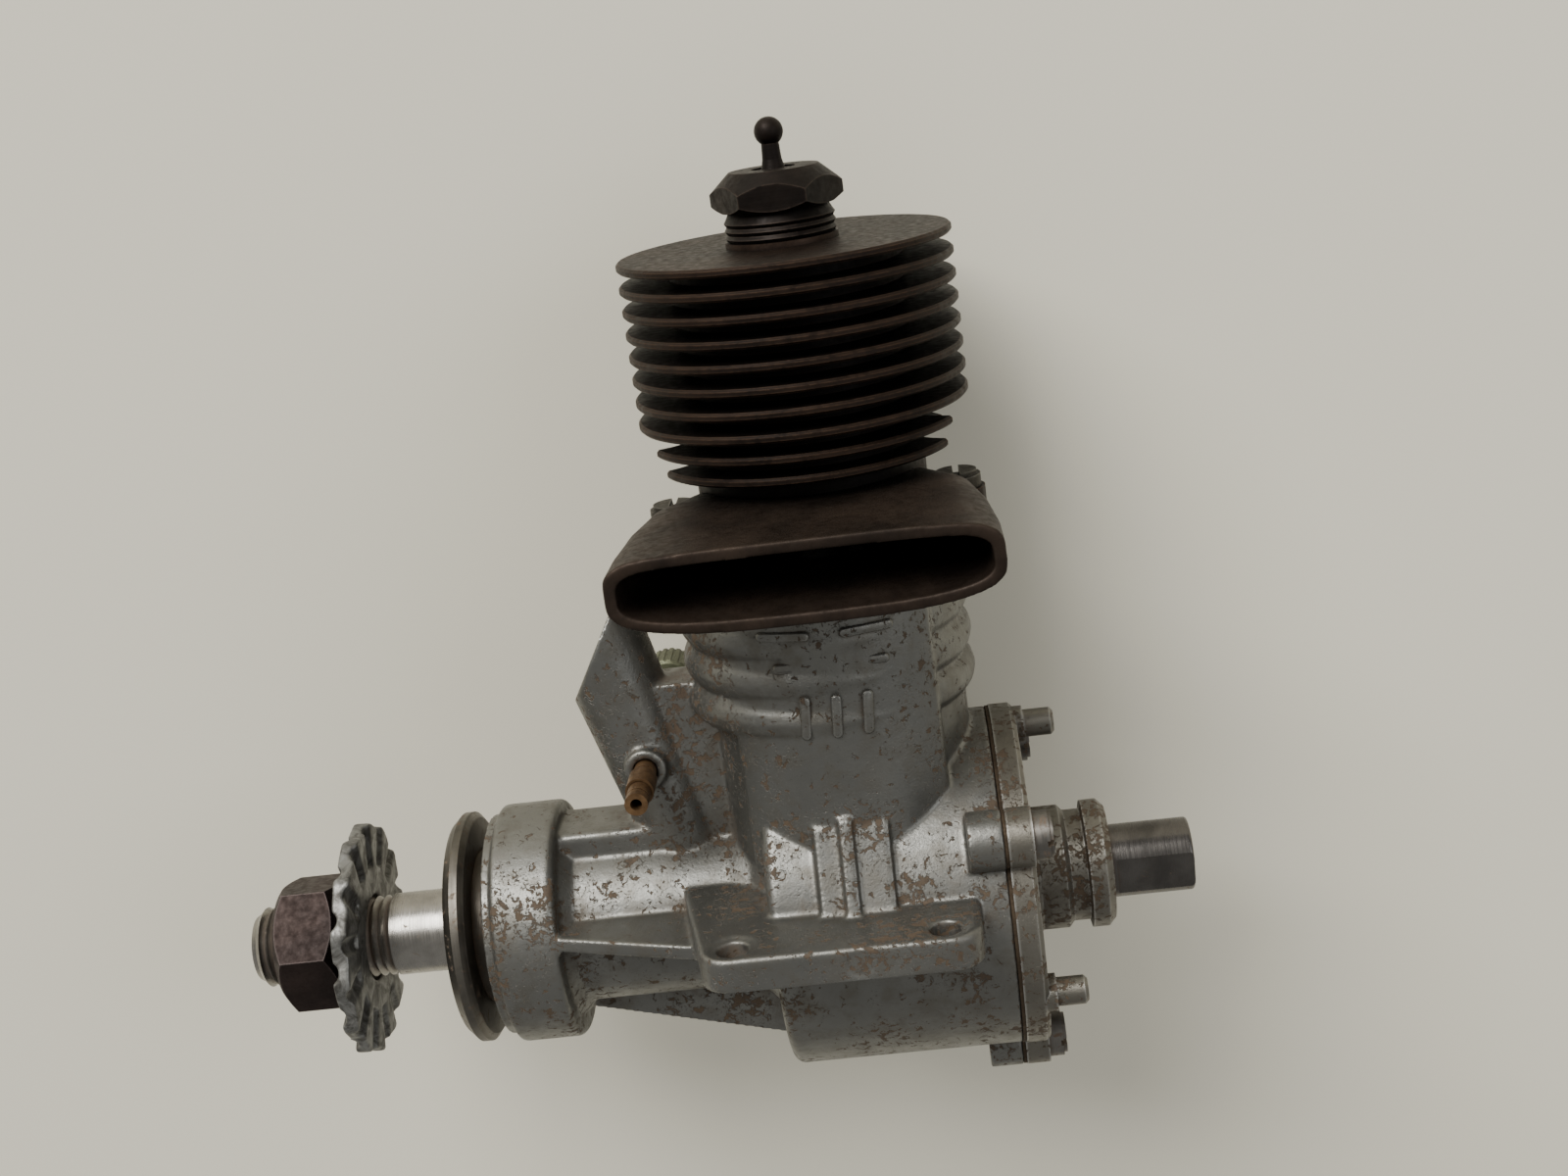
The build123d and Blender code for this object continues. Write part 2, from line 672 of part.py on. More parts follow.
with BuildPart() as glow_coil:
    with BuildLine():
        coil_path = Helix(pitch=0.55, height=2.75, radius=1.0, center=(0, 0, CHAMBER_TOP + 0.3))
    with BuildSketch(Plane(origin=coil_path @ 0, z_dir=coil_path % 0)):
        Circle(0.13)
    sweep(is_frenet=True)
save(glow_coil, "glow_coil")

# ---------------------------------------------------------------- rear cover
with BuildPart() as rear_cover:
    x_bar(CASE_REAR + GASKET_T, COVER_REAR, COVER_R)
    chamfer(rear_cover.edges().filter_by(GeomType.CIRCLE).sort_by(Axis.X)[-1], 0.5)
    for angle in COVER_SCREW_ANGLES:
        ear_y, ear_z = on_cover(angle, COVER_SCREW_R)
        x_bar(CASE_REAR + GASKET_T, COVER_REAR, EAR_R, y=ear_y, z=ear_z)
    # spigot that centres it in the crank chamber, and the hub that carries the bushing
    x_bar(SPIGOT_FRONT, CASE_REAR + GASKET_T, CAVITY_R - 0.1)
    x_bar(SPIGOT_FRONT, CASE_REAR + 1.0, CAVITY_R - 2.4, Mode.SUBTRACT)
    x_bar(HUB_FRONT, CASE_REAR + 1.5, HUB_BORE + 2.4)
    turned_x(
        [
            (COVER_REAR - 0.5, 0),
            (COVER_REAR - 0.5, REAR_BOSS_R + 0.9),
            (COVER_REAR, REAR_BOSS_R + 0.7),
            (COVER_REAR + 0.8, REAR_BOSS_R),
            (23.4, REAR_BOSS_R),
            (24.0, REAR_BOSS_R - 0.7),
            (25.9, REAR_BOSS_R - 0.7),
            (26.1, REAR_BOSS_R + 0.25),
            (28.0, REAR_BOSS_R + 0.25),
            (REAR_BOSS_END, REAR_BOSS_R - 0.6),
            (REAR_BOSS_END, 0),
        ]
    )
    for angle in POST_ANGLES:
        post_y, post_z = on_cover(angle, POST_R)
        x_bar(COVER_REAR - 0.5, COVER_REAR + POST_LENGTH, POST_RADIUS, y=post_y, z=post_z)
        x_bar(COVER_REAR - 0.5, COVER_REAR + 0.9, POST_RADIUS + 0.5, y=post_y, z=post_z)
        with Locations(Plane(origin=(COVER_REAR + POST_LENGTH, post_y, post_z), z_dir=(1, 0, 0))):
            Cone(POST_RADIUS, POST_RADIUS - POST_TIP, POST_TIP, align=(Align.CENTER, Align.CENTER, Align.MIN))
    x_bar(HUB_FRONT, REAR_BOSS_END, HUB_BORE, Mode.SUBTRACT)
    for angle in COVER_SCREW_ANGLES:
        hole_y, hole_z = on_cover(angle, COVER_SCREW_R)
        x_bar(SPIGOT_FRONT, COVER_REAR, SCREW_CLEAR_R, Mode.SUBTRACT, y=hole_y, z=hole_z)
save(rear_cover, "rear_cover")

with BuildPart() as cover_gasket:
    x_bar(CASE_REAR, CASE_REAR + GASKET_T, COVER_R - 0.1)
    for angle in COVER_SCREW_ANGLES:
        hole_y, hole_z = on_cover(angle, COVER_SCREW_R)
        x_bar(CASE_REAR, CASE_REAR + GASKET_T, EAR_R - 0.1, y=hole_y, z=hole_z)
    x_bar(CASE_REAR, CASE_REAR + GASKET_T, CAVITY_R, Mode.SUBTRACT)
    for angle in COVER_SCREW_ANGLES:
        hole_y, hole_z = on_cover(angle, COVER_SCREW_R)
        x_bar(CASE_REAR, CASE_REAR + GASKET_T, SCREW_CLEAR_R, Mode.SUBTRACT, y=hole_y, z=hole_z)
save(cover_gasket, "cover_gasket")

with BuildPart() as cover_screws:
    for angle in COVER_SCREW_ANGLES:
        hole_y, hole_z = on_cover(angle, COVER_SCREW_R)
        x_bar(CASE_REAR - COVER_BOSS_T + 0.8, COVER_REAR, SHANK_R, y=hole_y, z=hole_z)
        x_bar(COVER_REAR, COVER_REAR + HEAD_H + 0.3, HEAD_R, y=hole_y, z=hole_z)
        x_bar(COVER_REAR + HEAD_H + 0.3, COVER_REAR + HEAD_H + 0.7, HEAD_R - 0.35, y=hole_y, z=hole_z)
        block(
            (COVER_REAR + HEAD_H, hole_y - HEAD_R, hole_z - SLOT_HALF),
            (COVER_REAR + HEAD_H + 0.7, hole_y + HEAD_R, hole_z + SLOT_HALF),
            Mode.SUBTRACT,
        )
save(cover_screws, "cover_screws")

with BuildPart() as rear_bushing:
    x_bar(HUB_FRONT, REAR_BOSS_END - 0.3, HUB_BORE)
    x_bar(HUB_FRONT, REAR_BOSS_END - 0.3, REAR_JOURNAL_R + RUNNING, Mode.SUBTRACT)
save(rear_bushing, "rear_bushing")

# ---------------------------------------------------------------- crankshaft
with BuildPart() as crankshaft:
    front_thread = thread_outline(SHAFT_TIP + 0.6, THREAD_END, THREAD_R, 0.55, THREAD_PITCH)
    last_root = front_thread[-1][0]
    turned_x(
        [(SHAFT_TIP, 0), (SHAFT_TIP, THREAD_R - 0.9)]
        + front_thread
        + [
            (last_root + 0.5, SHAFT_R),
            (-41.5, SHAFT_R),
            (-41.0, JOURNAL_R),
            (WEB_FRONT, JOURNAL_R),
            (WEB_FRONT, 0),
        ]
    )
    # web, cut away beside the crankpin so that the far side balances it
    x_bar(WEB_FRONT, WEB_REAR, WEB_R)
    block((WEB_FRONT, 6.5, 1.0), (WEB_REAR, WEB_R, WEB_R), Mode.SUBTRACT)
    block((WEB_FRONT, -WEB_R, 1.0), (WEB_REAR, -6.5, WEB_R), Mode.SUBTRACT)
    # hollow journal with the rotary valve window under the intake tube
    x_bar(-24.0, WEB_REAR, 3.6, Mode.SUBTRACT)
    block((-21.5, -3.4, 0), (-15.5, 3.4, JOURNAL_R + 1), Mode.SUBTRACT)
save(crankshaft, "crankshaft")

with BuildPart() as prop_drive_disc:
    turned_x(
        [
            (DISC_FRONT, SHAFT_R),
            (DISC_FRONT, DISC_R - 1.0),
            (DISC_FRONT + 1.0, DISC_R),
            (DISC_REAR - 0.6, DISC_R),
            (DISC_REAR, DISC_R - 0.8),
            (DISC_REAR, DISC_HUB_R),
            (STEP_FRONT - 0.3, DISC_HUB_R),
            (STEP_FRONT - 0.3, SHAFT_R),
        ]
    )
save(prop_drive_disc, "prop_drive_disc")

with BuildPart() as prop_nut:
    with BuildSketch(Plane.YZ.offset(NUT_FRONT)):
        RegularPolygon(NUT_AF / 2, 6, major_radius=False, rotation=NUT_TURN)
    extrude(amount=NUT_REAR - NUT_FRONT)
    nut_corner = NUT_AF / 2 / cos(pi / 6)
    for face_x, step in ((NUT_FRONT, 1), (NUT_REAR, -1)):
        turned_x(
            [
                (face_x, nut_corner - NUT_CHAMFER_R),
                (face_x, nut_corner + 1),
                (face_x + step * NUT_CHAMFER_X, nut_corner + 1),
            ],
            Mode.SUBTRACT,
        )
    x_bar(NUT_FRONT, NUT_REAR, THREAD_R + 0.06, Mode.SUBTRACT)
save(prop_nut, "prop_nut")

# fluted steel washer: a wavy rim, with radial flutes on its front face and between them on its rear face.
# It hangs loose on the shaft, so it leans a little.
washer_frame = Plane(
    origin=(WASHER_FRONT + WASHER_SHIFT, 0, 0), x_dir=(0, 1, 0), z_dir=(1, 0, 0)
).rotated((-WASHER_LEAN_Y, WASHER_LEAN_Z, 0))
with BuildPart() as prop_washer:
    with BuildSketch(washer_frame):
        with BuildLine():
            rim_points = []
            for step in range(WASHER_LOBES * 4):
                turn = 2 * pi * step / (WASHER_LOBES * 4)
                radius = WASHER_R - 0.3 + 0.3 * cos(WASHER_LOBES * turn)
                rim_points.append((radius * cos(turn), radius * sin(turn)))
            Spline(*rim_points, periodic=True)
        make_face()
        Circle(SHAFT_R + 0.25, mode=Mode.SUBTRACT)
    extrude(amount=WASHER_T)
    for flute in range(2 * WASHER_LOBES):
        turn = pi * (flute + 0.5) / WASHER_LOBES
        depth = -FLUTE_RISE if flute % 2 else WASHER_T + FLUTE_RISE
        start = washer_frame.from_local_coords(Vector(FLUTE_START * cos(turn), FLUTE_START * sin(turn), depth))
        end = washer_frame.from_local_coords(Vector(cos(turn), sin(turn), 0)) - washer_frame.origin
        bar(Plane(origin=start, z_dir=end), FLUTE_R, WASHER_R, Mode.SUBTRACT)
save(prop_washer, "prop_washer")

# ---------------------------------------------------------------- rear drive shaft
with BuildPart() as rear_shaft:
    x_bar(REAR_ARM_FRONT + 0.5, REAR_SHAFT_STEP, REAR_JOURNAL_R)
    x_bar(REAR_SHAFT_STEP, REAR_SHAFT_END, REAR_SHAFT_R)
    fillet(rear_shaft.edges().filter_by(GeomType.CIRCLE).sort_by(Axis.X)[-1], 0.4)
    # flat on the free end
    flat_plane = Plane.XZ.rotated((FLAT_TILT, 0, 0)).offset(REAR_SHAFT_R - FLAT_DEPTH)
    with BuildSketch(flat_plane) as flat:
        with Locations(((FLAT_FRONT + REAR_SHAFT_END + 1) / 2, 0)):
            Rectangle(REAR_SHAFT_END + 1 - FLAT_FRONT, 2 * REAR_SHAFT_R)
    extrude(flat.sketch, amount=REAR_SHAFT_R, mode=Mode.SUBTRACT)
save(rear_shaft, "rear_shaft")

with BuildPart() as rear_drive_arm:
    x_bar(REAR_ARM_FRONT, REAR_ARM_REAR, 7.2)
    with BuildSketch(Plane.YZ.offset(REAR_ARM_FRONT)):
        Circle(6.5)
        with Locations((0, THROW)):
            Circle(4.6)
        make_hull()
    extrude(amount=REAR_ARM_REAR - REAR_ARM_FRONT)
    x_bar(REAR_ARM_FRONT, REAR_ARM_REAR, PIN_R + 0.3, Mode.SUBTRACT, z=THROW)
    x_bar(REAR_ARM_FRONT + 0.5, REAR_ARM_REAR, REAR_JOURNAL_R, Mode.SUBTRACT)
save(rear_drive_arm, "rear_drive_arm")

# ---------------------------------------------------------------- piston, pin and rod
with BuildPart() as piston:
    z_bar(PISTON_TOP - PISTON_H, PISTON_TOP, PISTON_R)
    z_bar(PISTON_TOP - PISTON_H, PISTON_TOP - 3.2, PISTON_R - 1.8, Mode.SUBTRACT)
    # wrist pin bosses
    for side in (-1, 1):
        x_bar(min(side * 5.2, side * 10.2), max(side * 5.2, side * 10.2), 4.4, z=WRIST_Z)
    # deflector that turns the fresh charge up, away from the exhaust port
    with BuildSketch(Plane.XY.offset(PISTON_TOP)):
        Circle(PISTON_R - 1.5)
        with Locations((0, 5.4)):
            Rectangle(30, 2.6, mode=Mode.INTERSECT)
    extrude(amount=3.0)
    x_bar(-12, 12, WRIST_R, Mode.SUBTRACT, z=WRIST_Z)
    # grooves for the two rings
    for groove_z in RING_GROOVES:
        turned_z(
            [
                (PISTON_R - 1.0, groove_z),
                (PISTON_R + 1, groove_z),
                (PISTON_R + 1, groove_z + 1.2),
                (PISTON_R - 1.0, groove_z + 1.2),
            ],
            Mode.SUBTRACT,
        )
save(piston, "piston")

with BuildPart() as piston_rings:
    for groove_z in RING_GROOVES:
        with BuildSketch(Plane.XY.offset(groove_z + 0.05)):
            Circle(PISTON_R + 0.03)
            Circle(PISTON_R - 0.9, mode=Mode.SUBTRACT)
            with Locations((0, PISTON_R)):
                Rectangle(0.3, 3, mode=Mode.SUBTRACT)
        extrude(amount=1.1)
save(piston_rings, "piston_rings")

with BuildPart() as wrist_pin:
    x_bar(-10.0, 10.0, WRIST_R - 0.02, z=WRIST_Z)
    x_bar(-10.0, 10.0, 1.3, Mode.SUBTRACT, z=WRIST_Z)
save(wrist_pin, "wrist_pin")

with BuildPart() as wrist_pin_pads:
    for side in (-1, 1):
        x_bar(min(side * 10.05, side * 11.0), max(side * 10.05, side * 11.0), WRIST_R - 0.1, z=WRIST_Z)
save(wrist_pin_pads, "wrist_pin_pads")

with BuildPart() as connecting_rod:
    x_bar(-ROD_HALF, ROD_HALF, BIG_END_R, z=THROW)
    x_bar(-ROD_HALF, ROD_HALF, SMALL_END_R, z=WRIST_Z)
    plate(
        Plane.YZ.offset(-1.5),
        [(-3.1, THROW + 2), (3.1, THROW + 2), (2.3, WRIST_Z - 2), (-2.3, WRIST_Z - 2)],
        3.0,
    )
    x_bar(-ROD_HALF, ROD_HALF, PIN_R + RUNNING, Mode.SUBTRACT, z=THROW)
    x_bar(-ROD_HALF, ROD_HALF, WRIST_R + 0.02, Mode.SUBTRACT, z=WRIST_Z)
save(connecting_rod, "connecting_rod")

# The crankpin stays with the rod: both its ends stand clear of the crank web and the rear arm
with BuildPart() as crankpin:
    x_bar(WEB_REAR + 0.3, REAR_ARM_FRONT - 0.3, PIN_R, z=THROW)
    chamfer(crankpin.edges().filter_by(GeomType.CIRCLE), 0.3)
save(crankpin, "crankpin")

# ---------------------------------------------------------------- spray bar and needle valve
with BuildPart() as spray_bar:
    y_bar(-7.6, 14.0, SPRAY_R, SPRAY_X, SPRAY_Z)
    # barbed nipple for the fuel line
    y_bar(NIPPLE_TIP + 0.4, -7.6, SPRAY_R - 0.2, SPRAY_X, SPRAY_Z)
    y_bar(-12.4, -8.6, NIPPLE_R, SPRAY_X, SPRAY_Z)
    for start, end in ((-14.4, -12.6), (NIPPLE_TIP, -14.6)):
        y_bar(start, end, SPRAY_R, SPRAY_X, SPRAY_Z)
    y_bar(NIPPLE_TIP, 14.0, FUEL_BORE, SPRAY_X, SPRAY_Z, Mode.SUBTRACT)
    z_bar(SPRAY_Z - 3, SPRAY_Z, 0.4, Mode.SUBTRACT, x=SPRAY_X)
save(spray_bar, "spray_bar")

with BuildPart() as spray_bar_nut:
    with BuildSketch(Plane(origin=(SPRAY_X, 6.15, SPRAY_Z), x_dir=(1, 0, 0), z_dir=(0, 1, 0))):
        RegularPolygon(2.6, 6, major_radius=False)
        Circle(SPRAY_R + 0.02, mode=Mode.SUBTRACT)
    extrude(amount=2.0)
save(spray_bar_nut, "spray_bar_nut")

with BuildPart() as needle:
    y_bar(3.0, 26.0, NEEDLE_R, SPRAY_X, SPRAY_Z)
save(needle, "needle")

with BuildPart() as needle_knob:
    y_bar(KNOB_FRONT, KNOB_REAR, KNOB_R, SPRAY_X, SPRAY_Z)
    chamfer(needle_knob.edges().filter_by(GeomType.CIRCLE), 0.4)
    # sleeve that screws over the end of the spray bar
    y_bar(9.0, KNOB_FRONT + 1, SLEEVE_R, SPRAY_X, SPRAY_Z)
    for groove in range(KNOB_GROOVES):
        turn = 2 * pi * groove / KNOB_GROOVES
        y_bar(
            KNOB_FRONT,
            KNOB_REAR,
            0.22,
            SPRAY_X + (KNOB_R + 0.05) * cos(turn),
            SPRAY_Z + (KNOB_R + 0.05) * sin(turn),
            Mode.SUBTRACT,
        )
    y_bar(9.0, 20.0, SPRAY_R + 0.06, SPRAY_X, SPRAY_Z, Mode.SUBTRACT)
    y_bar(9.0, 26.0, NEEDLE_R, SPRAY_X, SPRAY_Z, Mode.SUBTRACT)
save(needle_knob, "needle_knob")
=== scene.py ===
import json
from math import cos, radians, sin, sqrt, tau

import bmesh
import bpy
from mathutils import Matrix, Vector


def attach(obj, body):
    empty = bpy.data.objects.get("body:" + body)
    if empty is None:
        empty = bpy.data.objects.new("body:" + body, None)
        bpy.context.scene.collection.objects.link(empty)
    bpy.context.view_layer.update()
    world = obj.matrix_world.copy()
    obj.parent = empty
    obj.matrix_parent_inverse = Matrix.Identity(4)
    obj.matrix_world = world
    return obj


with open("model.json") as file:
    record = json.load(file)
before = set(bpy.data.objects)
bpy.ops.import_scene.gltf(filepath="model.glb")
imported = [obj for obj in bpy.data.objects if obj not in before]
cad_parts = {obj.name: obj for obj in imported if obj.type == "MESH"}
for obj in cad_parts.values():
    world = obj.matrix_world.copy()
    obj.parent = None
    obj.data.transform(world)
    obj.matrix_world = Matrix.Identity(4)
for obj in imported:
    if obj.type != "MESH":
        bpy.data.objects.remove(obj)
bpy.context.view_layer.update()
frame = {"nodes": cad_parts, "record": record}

MM = 0.001
SLOT_OF = {part["node"]: part["material_slot"] for part in frame["record"]["subparts"]}

# ---------------------------------------------------------------- camera, stage and light
CAMERA_AT = Vector((11.33, -221.67, 100.88)) * MM
CAMERA_TO = Vector((-4.81, 0.0, 37.54)) * MM
CAMERA_ROLL = 0.133
CAMERA_LENS = 46.77

TABLE_TILT = radians(7.6)
TABLE_TOUCH = Vector((0.0, 31.0, 5.0)) * MM
TABLE_SIZE = 1.6


def make_camera():
    data = bpy.data.cameras.new("camera")
    data.lens = CAMERA_LENS
    data.sensor_width = 36.0
    data.clip_start = 0.01
    camera = bpy.data.objects.new("camera", data)
    forward = (CAMERA_TO - CAMERA_AT).normalized()
    right = forward.cross(Vector((0, 0, 1))).normalized()
    down = forward.cross(right)
    image_right = right * cos(CAMERA_ROLL) + down * sin(CAMERA_ROLL)
    image_down = down * cos(CAMERA_ROLL) - right * sin(CAMERA_ROLL)
    turn = Matrix((image_right, -image_down, -forward)).transposed().to_4x4()
    camera.matrix_world = Matrix.Translation(CAMERA_AT) @ turn
    bpy.context.collection.objects.link(camera)
    bpy.context.scene.camera = camera


def make_light(name, at, to, size, power, colour=(1.0, 1.0, 1.0)):
    data = bpy.data.lights.new(name, "AREA")
    data.shape = "RECTANGLE"
    data.size, data.size_y = size
    data.energy = power
    data.color = colour
    light = bpy.data.objects.new(name, data)
    light.location = at
    light.rotation_euler = (Vector(to) - Vector(at)).to_track_quat("-Z", "Y").to_euler()
    bpy.context.collection.objects.link(light)


# ---------------------------------------------------------------- node materials
class Shader:
    """A Principled material whose textures are laid out in millimetres on the object."""

    def __init__(self, name, roughness=0.5, metallic=0.0):
        self.material = bpy.data.materials.new(name)
        self.material.use_nodes = True
        self.nodes = self.material.node_tree.nodes
        self.links = self.material.node_tree.links
        self.surface = self.nodes["Principled BSDF"]
        self.surface.inputs["Roughness"].default_value = roughness
        self.surface.inputs["Metallic"].default_value = metallic
        coordinates = self.nodes.new("ShaderNodeTexCoord")
        self.place = coordinates.outputs["Object"]

    def put(self, socket, value):
        """Link an output to a socket, or set the socket's own value."""
        if isinstance(value, bpy.types.NodeSocket):
            self.links.new(value, socket)
        elif isinstance(value, (tuple, list)) and socket.type == "RGBA":
            socket.default_value = (*value, 1.0) if len(value) == 3 else value
        else:
            socket.default_value = value

    def stretched(self, scale, stretch, turn=(0, 0, 0)):
        mapping = self.nodes.new("ShaderNodeMapping")
        self.links.new(self.place, mapping.inputs["Vector"])
        mapping.inputs["Scale"].default_value = [1000 * scale * part for part in stretch]
        mapping.inputs["Rotation"].default_value = turn
        return mapping.outputs["Vector"]

    def noise(self, scale, detail=4.0, rough=0.55, distortion=0.0, stretch=(1, 1, 1), turn=(0, 0, 0)):
        """Noise from 0 to 1. scale is in features per millimetre."""
        node = self.nodes.new("ShaderNodeTexNoise")
        self.links.new(self.stretched(scale, stretch, turn), node.inputs["Vector"])
        node.inputs["Scale"].default_value = 1.0
        node.inputs["Detail"].default_value = detail
        node.inputs["Roughness"].default_value = rough
        node.inputs["Distortion"].default_value = distortion
        return node.outputs["Fac"]

    def levels(self, value, low, high, to_low=0.0, to_high=1.0):
        """Smooth step from low to high."""
        node = self.nodes.new("ShaderNodeMapRange")
        node.interpolation_type = "SMOOTHSTEP"
        self.put(node.inputs["Value"], value)
        node.inputs["From Min"].default_value = low
        node.inputs["From Max"].default_value = high
        node.inputs["To Min"].default_value = to_low
        node.inputs["To Max"].default_value = to_high
        return node.outputs["Result"]

    def math(self, operation, a, b=0.0):
        node = self.nodes.new("ShaderNodeMath")
        node.operation = operation
        self.put(node.inputs[0], a)
        self.put(node.inputs[1], b)
        return node.outputs[0]

    def mix(self, factor, a, b):
        """Colour a where factor is 0, b where it is 1."""
        node = self.nodes.new("ShaderNodeMix")
        node.data_type = "RGBA"
        self.put(node.inputs["Factor"], factor)
        self.put(node.inputs[6], a)
        self.put(node.inputs[7], b)
        return node.outputs[2]

    def shade_in_corners(self, reach, low=0.25, high=0.75):
        """Painted shade mask from ambient occlusion: 1 deep in corners and gaps, where shade falls, 0 on open
        surfaces. reach is in millimetres.
        """
        node = self.nodes.new("ShaderNodeAmbientOcclusion")
        node.samples = 8
        node.inputs["Distance"].default_value = reach * MM
        return self.levels(node.outputs["AO"], low, high, 1.0, 0.0)

    def edge(self, radius, low=0.01, high=0.12):
        """1 along edges, from how far a bevelled normal leans from the true one."""
        bevel = self.nodes.new("ShaderNodeBevel")
        bevel.samples = 6
        bevel.inputs["Radius"].default_value = radius * MM
        geometry = self.nodes.new("ShaderNodeNewGeometry")
        dot = self.nodes.new("ShaderNodeVectorMath")
        dot.operation = "DOT_PRODUCT"
        self.links.new(bevel.outputs["Normal"], dot.inputs[0])
        self.links.new(geometry.outputs["Normal"], dot.inputs[1])
        return self.levels(self.math("SUBTRACT", 1.0, dot.outputs["Value"]), low, high)

    def bump(self, height, depth, strength=1.0, below=None):
        """Relief of a height texture. depth is in millimetres."""
        node = self.nodes.new("ShaderNodeBump")
        node.inputs["Distance"].default_value = depth * MM
        node.inputs["Strength"].default_value = strength
        self.links.new(height, node.inputs["Height"])
        if below is not None:
            self.links.new(below, node.inputs["Normal"])
        return node.outputs["Normal"]

    def finish(self, colour, roughness=None, normal=None, metallic=None):
        self.put(self.surface.inputs["Base Color"], colour)
        if roughness is not None:
            self.put(self.surface.inputs["Roughness"], roughness)
        if metallic is not None:
            self.put(self.surface.inputs["Metallic"], metallic)
        if normal is not None:
            self.links.new(normal, self.surface.inputs["Normal"])
        return self.material


def cast_metal(name, corner_darkening_strength=0.9, base=(0.195, 0.195, 0.182), pits=0.55):
    """Old die-cast aluminium: dull grey with brown pits, brown soiling and painted shade in its corners, and
    bright worn edges.
    """
    s = Shader(name, metallic=0.9)
    cloud = s.noise(0.06, 5, 0.6)
    mottle = s.noise(0.35, 6, 0.65, 0.3)
    grain = s.noise(4.0, 3, 0.6)
    colour = s.mix(s.levels(cloud, 0.3, 0.7), [part * 0.80 for part in base], base)
    colour = s.mix(s.math("MULTIPLY", s.levels(mottle, 0.42, 0.7), 0.6), colour, (0.13, 0.12, 0.10))
    worn = s.edge(0.5)
    colour = s.mix(s.math("MULTIPLY", worn, 0.6), colour, (0.56, 0.56, 0.54))
    # pits: scattered dark brown spots, thicker in some areas than in others
    patch = s.levels(s.noise(0.11, 3, 0.6), 0.42, 0.68)
    spots = s.noise(1.05, 6, 0.66, 0.6)
    limit = s.math("SUBTRACT", pits + 0.06, s.math("MULTIPLY", patch, 0.12))
    pit = s.levels(s.math("SUBTRACT", spots, limit), 0.0, 0.035)
    small = s.levels(s.noise(3.2, 3, 0.6), 0.59, 0.65)
    pit = s.math("MAXIMUM", pit, s.math("MULTIPLY", small, s.math("MULTIPLY", patch, 0.95)))
    brown = s.mix(s.noise(1.4, 4), (0.030, 0.019, 0.011), (0.105, 0.068, 0.036))
    # brown soiling and painted shade gather in corners by ambient occlusion, broken up by noise
    corner = s.shade_in_corners(5.0, 0.35, 0.9)
    grime_and_shade = s.math("MULTIPLY", corner, s.levels(mottle, 0.35, 0.62))
    grime_and_shade = s.math("MULTIPLY", grime_and_shade, corner_darkening_strength)
    # painted shade: occluded corners are mixed towards brown, together with the soiling there
    colour = s.mix(s.math("MULTIPLY", grime_and_shade, 0.9), colour, brown)
    colour = s.mix(s.math("MULTIPLY", pit, 0.92), colour, brown)
    pit_and_corner_mask = s.math("MAXIMUM", pit, grime_and_shade)
    rough = s.levels(mottle, 0.2, 0.8, 0.34, 0.52)
    rough = s.math("ADD", rough, s.math("MULTIPLY", pit_and_corner_mask, 0.35))
    metal = s.levels(pit_and_corner_mask, 0.1, 0.9, 0.9, 0.15)
    normal = s.bump(grain, 0.05, 0.5)
    normal = s.bump(mottle, 0.18, 0.35, normal)
    normal = s.bump(s.math("SUBTRACT", 1.0, pit), 0.12, 0.8, normal)
    return s.finish(colour, rough, normal, metal)


def burnt_steel(name, dark, light, edge_colour, lathe=3.0, axis="Z", metallic=0.55):
    """Steel baked dark brown by heat and oil, with faint turning marks and browned, rubbed edges."""
    s = Shader(name, metallic=metallic)
    s.surface.inputs["Specular IOR Level"].default_value = 0.22
    cloud = s.noise(0.12, 6, 0.65, 0.4)
    fine = s.noise(1.1, 5, 0.65)
    along = {"Z": (0.02, 0.02, lathe), "X": (lathe, 0.02, 0.02), "Y": (0.02, lathe, 0.02)}[axis]
    rings = s.noise(1.0, 3, 0.5, 0.0, along)
    colour = s.mix(s.levels(cloud, 0.3, 0.72), dark, light)
    colour = s.mix(s.math("MULTIPLY", s.levels(fine, 0.5, 0.75), 0.45), colour, dark)
    rub = s.math("MULTIPLY", s.edge(0.35, 0.01, 0.10), s.levels(fine, 0.30, 0.62))
    colour = s.mix(s.math("MULTIPLY", rub, 0.75), colour, edge_colour)
    # painted shade: corners and gaps darken to a quarter of the dark tone by ambient occlusion
    painted_corner_shade = s.shade_in_corners(7.0, 0.25, 0.85)
    colour = s.mix(s.math("MULTIPLY", painted_corner_shade, 0.85), colour, [part * 0.25 for part in dark])
    rough = s.levels(fine, 0.25, 0.8, 0.42, 0.68)
    normal = s.bump(rings, 0.05, 0.35)
    normal = s.bump(fine, 0.06, 0.4, normal)
    return s.finish(colour, rough, normal)


